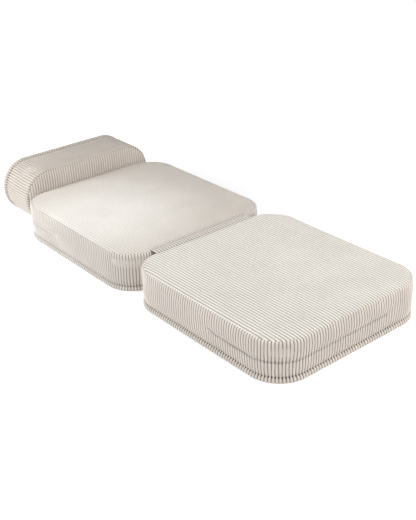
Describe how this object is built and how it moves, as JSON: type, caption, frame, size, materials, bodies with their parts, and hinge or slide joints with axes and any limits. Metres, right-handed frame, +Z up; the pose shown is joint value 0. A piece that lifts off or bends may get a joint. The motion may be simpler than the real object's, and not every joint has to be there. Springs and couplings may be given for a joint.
{
  "type": "fold-out foam chair bed",
  "caption": "Foam chair bed covered in thick ribbed cloth: flat cushions and a bolster on fabric hinges, folding from a low bed into a chair, with zipped covers.",
  "frame": {"origin": "on the floor, below the middle of the whole bed laid flat, sliders included", "axes": "+X across the bed, +Y to the head end where the bolster stands, +Z up"},
  "size_m": [0.602, 1.5156, 0.204],
  "materials": {
    "corduroy": "thick ribbed corduroy, off-white",
    "base_cloth": "plain woven cloth, off-white",
    "liner_cloth": "thin white polyester",
    "foam": "soft open-cell polyurethane foam",
    "zip_tape": "woven tape",
    "zip_coil": "moulded nylon coil",
    "zip_metal": "satin enamel, off-white"
  },
  "bodies": {
    "front_cushion": {"front_top_panel": "corduroy", "front_upper_band": "corduroy", "front_lower_band": "corduroy", "front_side_band": "corduroy", "front_base_panel": "base_cloth", "front_liner": "liner_cloth", "front_foam": "foam", "front_zip_tape": "zip_tape", "front_zip_coil": "zip_coil", "front_fold_strip": "corduroy"},
    "front_zip_slider": {"front_zip_slider": "zip_metal"},
    "front_zip_pull": {"front_zip_pull": "zip_metal"},
    "middle_cushion": {"middle_top_panel": "corduroy", "middle_upper_band": "corduroy", "middle_lower_band": "corduroy", "middle_side_band": "corduroy", "middle_base_panel": "base_cloth", "middle_liner": "liner_cloth", "middle_foam": "foam", "middle_zip_tape": "zip_tape", "middle_zip_coil": "zip_coil", "middle_fold_strip": "corduroy"},
    "middle_zip_slider": {"middle_zip_slider": "zip_metal"},
    "middle_zip_pull": {"middle_zip_pull": "zip_metal"},
    "bolster": {"bolster_front_panel": "corduroy", "bolster_front_band": "corduroy", "bolster_back_band": "corduroy", "bolster_back_panel": "base_cloth", "bolster_liner": "liner_cloth", "bolster_foam": "foam", "bolster_zip_tape": "zip_tape", "bolster_zip_coil": "zip_coil", "bolster_fold_strip": "corduroy"},
    "bolster_zip_slider": {"bolster_zip_slider": "zip_metal"},
    "bolster_zip_pull": {"bolster_zip_pull": "zip_metal"}
  },
  "joints": [
    {"name": "middle_fold", "type": "hinge", "parent": "front_cushion", "child": "middle_cushion", "pos_m": [0, -0.09085, 0.1323], "axis": [1, 0, 0], "range_deg": [0, 180]},
    {"name": "bolster_fold", "type": "hinge", "parent": "middle_cushion", "child": "bolster", "pos_m": [0, 0.5766, -0.0003], "axis": [-1, 0, 0], "range_deg": [0, 180]},
    {"name": "front_zip_slide", "type": "slide", "parent": "front_cushion", "child": "front_zip_slider", "axis": [0, -1, 0], "range_m": [0, 0.1612]},
    {"name": "front_pull_swing", "type": "hinge", "parent": "front_zip_slider", "child": "front_zip_pull", "pos_m": [-0.2973, -0.48475, 0.064], "axis": [0, 0, 1], "range_deg": [0, 180]},
    {"name": "middle_zip_slide", "type": "slide", "parent": "middle_cushion", "child": "middle_zip_slider", "axis": [0, 1, 0], "range_m": [0, 0.1232]},
    {"name": "middle_pull_swing", "type": "hinge", "parent": "middle_zip_slider", "child": "middle_zip_pull", "pos_m": [-0.2973, 0.34105, 0.064], "axis": [0, 0, -1], "range_deg": [0, 180]},
    {"name": "bolster_zip_slide", "type": "slide", "parent": "bolster", "child": "bolster_zip_slider", "axis": [1, 0, 0], "range_m": [0, 0.3082]},
    {"name": "bolster_pull_swing", "type": "hinge", "parent": "bolster_zip_slider", "child": "bolster_zip_pull", "pos_m": [-0.1541, 0.75635, 0.102], "axis": [0, 0, -1], "range_deg": [0, 180]}
  ]
}
